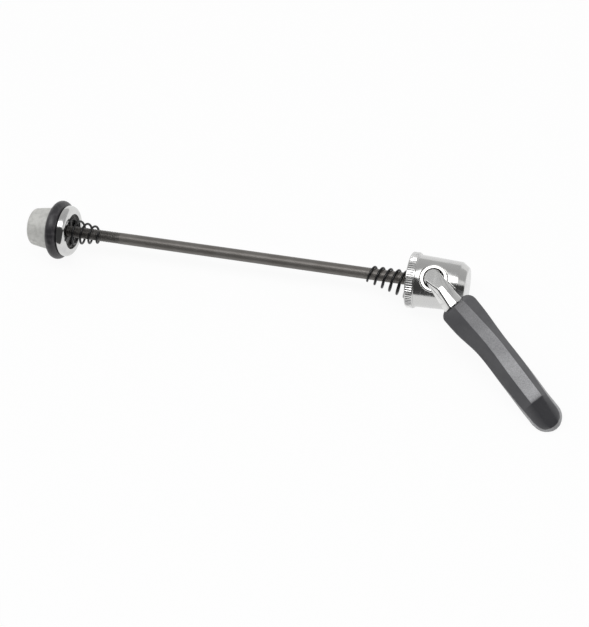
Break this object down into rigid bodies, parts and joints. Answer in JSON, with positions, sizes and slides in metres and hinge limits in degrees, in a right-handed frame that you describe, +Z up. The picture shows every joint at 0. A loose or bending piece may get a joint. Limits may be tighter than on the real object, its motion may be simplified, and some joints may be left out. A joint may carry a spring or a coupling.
{
  "type": "quick release skewer",
  "caption": "Bicycle wheel quick release skewer: long steel rod with a cam lever in a knurled housing, a ringed clamp nut and conical springs.",
  "frame": {"origin": "on the rod's axis, in the plane of the cam housing's clamp face", "axes": "+X along the rod towards the lever, +Z up as it lies at rest"},
  "size_m": [0.2419, 0.0665, 0.0274],
  "materials": {
    "chrome_steel": "chrome plated, slightly soft",
    "bright_bush": "bright chrome plated",
    "chrome_lever": "chrome plated forging",
    "grip_plastic": "fine moulded grain",
    "plain_steel": "plain turned steel",
    "rod_steel": "dark oxide, satin",
    "spring_steel": "black spring wire",
    "chrome_insert": "polished chrome",
    "ring_rubber": "smooth black rubber",
    "nut_aluminium": "tumbled matte",
    "nylon": "natural nylon"
  },
  "bodies": {
    "housing": {"cam_housing": "chrome_steel", "pivot_bush": "bright_bush", "retaining_washer": "plain_steel"},
    "lever": {"lever": "chrome_lever", "lever_grip": "grip_plastic", "retaining_clip": "spring_steel"},
    "rod": {"skewer_rod": "rod_steel", "rod_eye": "plain_steel"},
    "lever_spring": {"lever_spring": "spring_steel"},
    "nut_spring": {"nut_spring": "spring_steel"},
    "nut": {"nut_body": "nut_aluminium", "nut_insert": "chrome_insert", "grip_ring": "ring_rubber", "lock_ring": "nylon"}
  },
  "joints": [
    {"name": "lever_turn", "type": "hinge", "parent": "housing", "child": "lever", "pos_m": [0.0115, 0, 0], "axis": [0, 0.2883, -0.9575], "range_deg": [-133, 47]},
    {"name": "rod_slide", "type": "slide", "parent": "housing", "child": "rod", "axis": [1, 0, 0], "range_m": [-0.0017, 0.0006]},
    {"name": "lever_spring_slide", "type": "slide", "parent": "housing", "child": "lever_spring", "axis": [-1, 0, 0], "range_m": [0, 0.09]},
    {"name": "nut_travel", "type": "slide", "parent": "rod", "child": "nut_spring", "axis": [1, 0, 0], "range_m": [-0.0041, 0.0121]},
    {"name": "nut_spin", "type": "hinge", "parent": "nut_spring", "child": "nut", "pos_m": [-0.152, 0, 0], "axis": [1, 0, 0], "range_deg": [-1800, 5400]}
  ],
  "couplings": [
    {"joint": "rod_slide", "follows": "lever_turn", "m_per_rad": 0.0007246},
    {"joint": "nut_travel", "follows": "nut_spin", "m_per_rad": 0.00012732}
  ]
}
